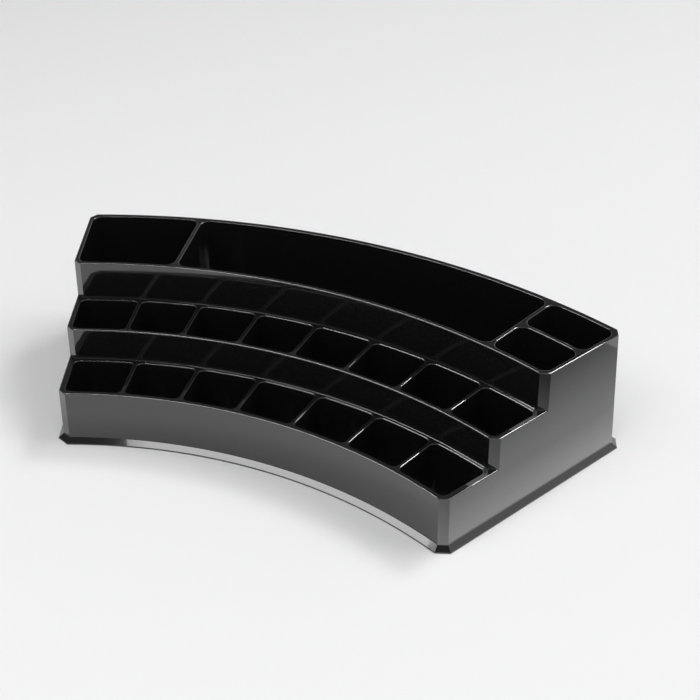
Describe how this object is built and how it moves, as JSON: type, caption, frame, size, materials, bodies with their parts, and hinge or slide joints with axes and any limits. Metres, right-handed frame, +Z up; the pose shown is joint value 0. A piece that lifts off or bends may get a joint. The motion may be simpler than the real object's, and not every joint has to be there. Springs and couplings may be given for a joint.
{
  "type": "bathroom organizer",
  "caption": "Curved, stepped desktop organizer in gloss black plastic with rows of small wells at two low levels and open bins at the back.",
  "frame": {"origin": "middle of the foot's outline, on the table: centre of the bounding box in X and Y, its bottom in Z", "axes": "+X to the right as seen from the front, +Y from the low front to the tall back, +Z up"},
  "size_m": [0.3116, 0.1488, 0.0673],
  "materials": {
    "black_plastic": "high gloss, polished mould"
  },
  "bodies": {
    "root": {"foot_flare": "black_plastic", "floor_plate": "black_plastic", "front_wall": "black_plastic", "middle_riser": "black_plastic", "rear_riser": "black_plastic", "rear_wall": "black_plastic", "left_end_wall": "black_plastic", "right_end_wall": "black_plastic", "front_divider_1": "black_plastic", "front_divider_2": "black_plastic", "front_divider_3": "black_plastic", "front_divider_4": "black_plastic", "front_divider_5": "black_plastic", "front_divider_6": "black_plastic", "middle_divider_1": "black_plastic", "middle_divider_2": "black_plastic", "middle_divider_3": "black_plastic", "middle_divider_4": "black_plastic", "middle_divider_5": "black_plastic", "middle_divider_6": "black_plastic", "middle_divider_7": "black_plastic", "left_bin_divider": "black_plastic", "right_bin_divider": "black_plastic", "cross_divider": "black_plastic"}
  },
  "joints": []
}
